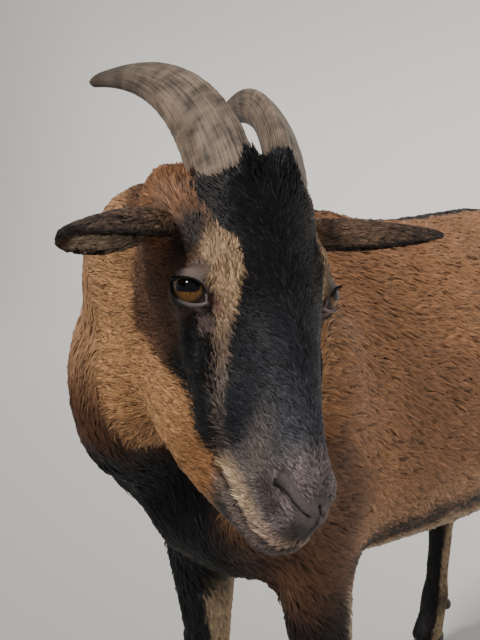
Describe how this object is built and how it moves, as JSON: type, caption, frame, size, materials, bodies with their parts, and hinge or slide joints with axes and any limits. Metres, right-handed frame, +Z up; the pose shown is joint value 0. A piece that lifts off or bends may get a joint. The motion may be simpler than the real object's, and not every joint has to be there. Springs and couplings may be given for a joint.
{
  "type": "life-size goat model",
  "caption": "Life-size standing horned goat as a still museum model, head turned to its left and lowered, with short chestnut and black coat, sickle horns and cloven hooves.",
  "frame": {"origin": "middle of the whole goat's box, on the floor between the hooves", "axes": "+Z up; the trunk faces -Y and the goat's left side is +X; the tail is towards +Y"},
  "size_m": [0.385, 1.048, 0.8577],
  "materials": {
    "coat": "short dense hair",
    "horn": "dry striated horn",
    "hoof": "worn horn",
    "eye": "wet gloss"
  },
  "bodies": {
    "root": {"head": "coat", "neck": "coat", "chest": "coat", "barrel": "coat", "hindquarters": "coat", "tail": "coat", "forearm_left": "coat", "forearm_right": "coat", "forecannon_left": "coat", "forecannon_right": "coat", "gaskin_left": "coat", "gaskin_right": "coat", "hindcannon_left": "coat", "hindcannon_right": "coat", "ear_left": "coat", "ear_right": "coat", "horn_left": "horn", "horn_right": "horn", "forehoof_left_inner": "hoof", "forehoof_left_outer": "hoof", "forehoof_right_inner": "hoof", "forehoof_right_outer": "hoof", "hindhoof_left_inner": "hoof", "hindhoof_left_outer": "hoof", "hindhoof_right_inner": "hoof", "hindhoof_right_outer": "hoof", "fore_dewclaw_left_inner": "hoof", "fore_dewclaw_left_outer": "hoof", "fore_dewclaw_right_inner": "hoof", "fore_dewclaw_right_outer": "hoof", "hind_dewclaw_left_inner": "hoof", "hind_dewclaw_left_outer": "hoof", "hind_dewclaw_right_inner": "hoof", "hind_dewclaw_right_outer": "hoof", "eye_left": "eye", "eye_right": "eye"}
  },
  "joints": []
}
